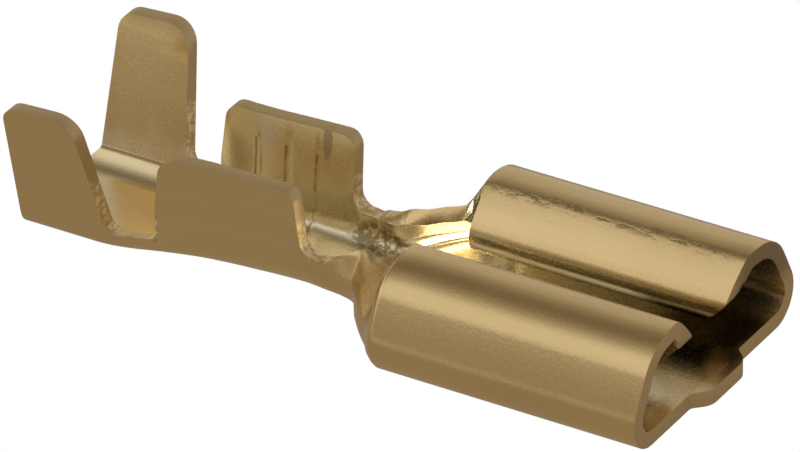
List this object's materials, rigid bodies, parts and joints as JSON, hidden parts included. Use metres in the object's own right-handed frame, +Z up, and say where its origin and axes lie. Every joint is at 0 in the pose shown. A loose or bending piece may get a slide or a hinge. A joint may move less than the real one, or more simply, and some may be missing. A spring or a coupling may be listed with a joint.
{
  "type": "female spade terminal",
  "caption": "Uninsulated female spade terminal folded from brass strip, with two rolled lobes over a tab slot, an open wire crimp and an open insulation crimp.",
  "frame": {"origin": "bottom centre of the bounding box, in the plane of the flat underside", "axes": "+X along the terminal towards the mouth that takes the tab, +Y across it, +Z up from the underside to the open crimps"},
  "size_m": [0.0176, 0.0074, 0.0037],
  "materials": {
    "brass": "satin as stamped"
  },
  "bodies": {
    "root": {"terminal": "brass"}
  },
  "joints": []
}
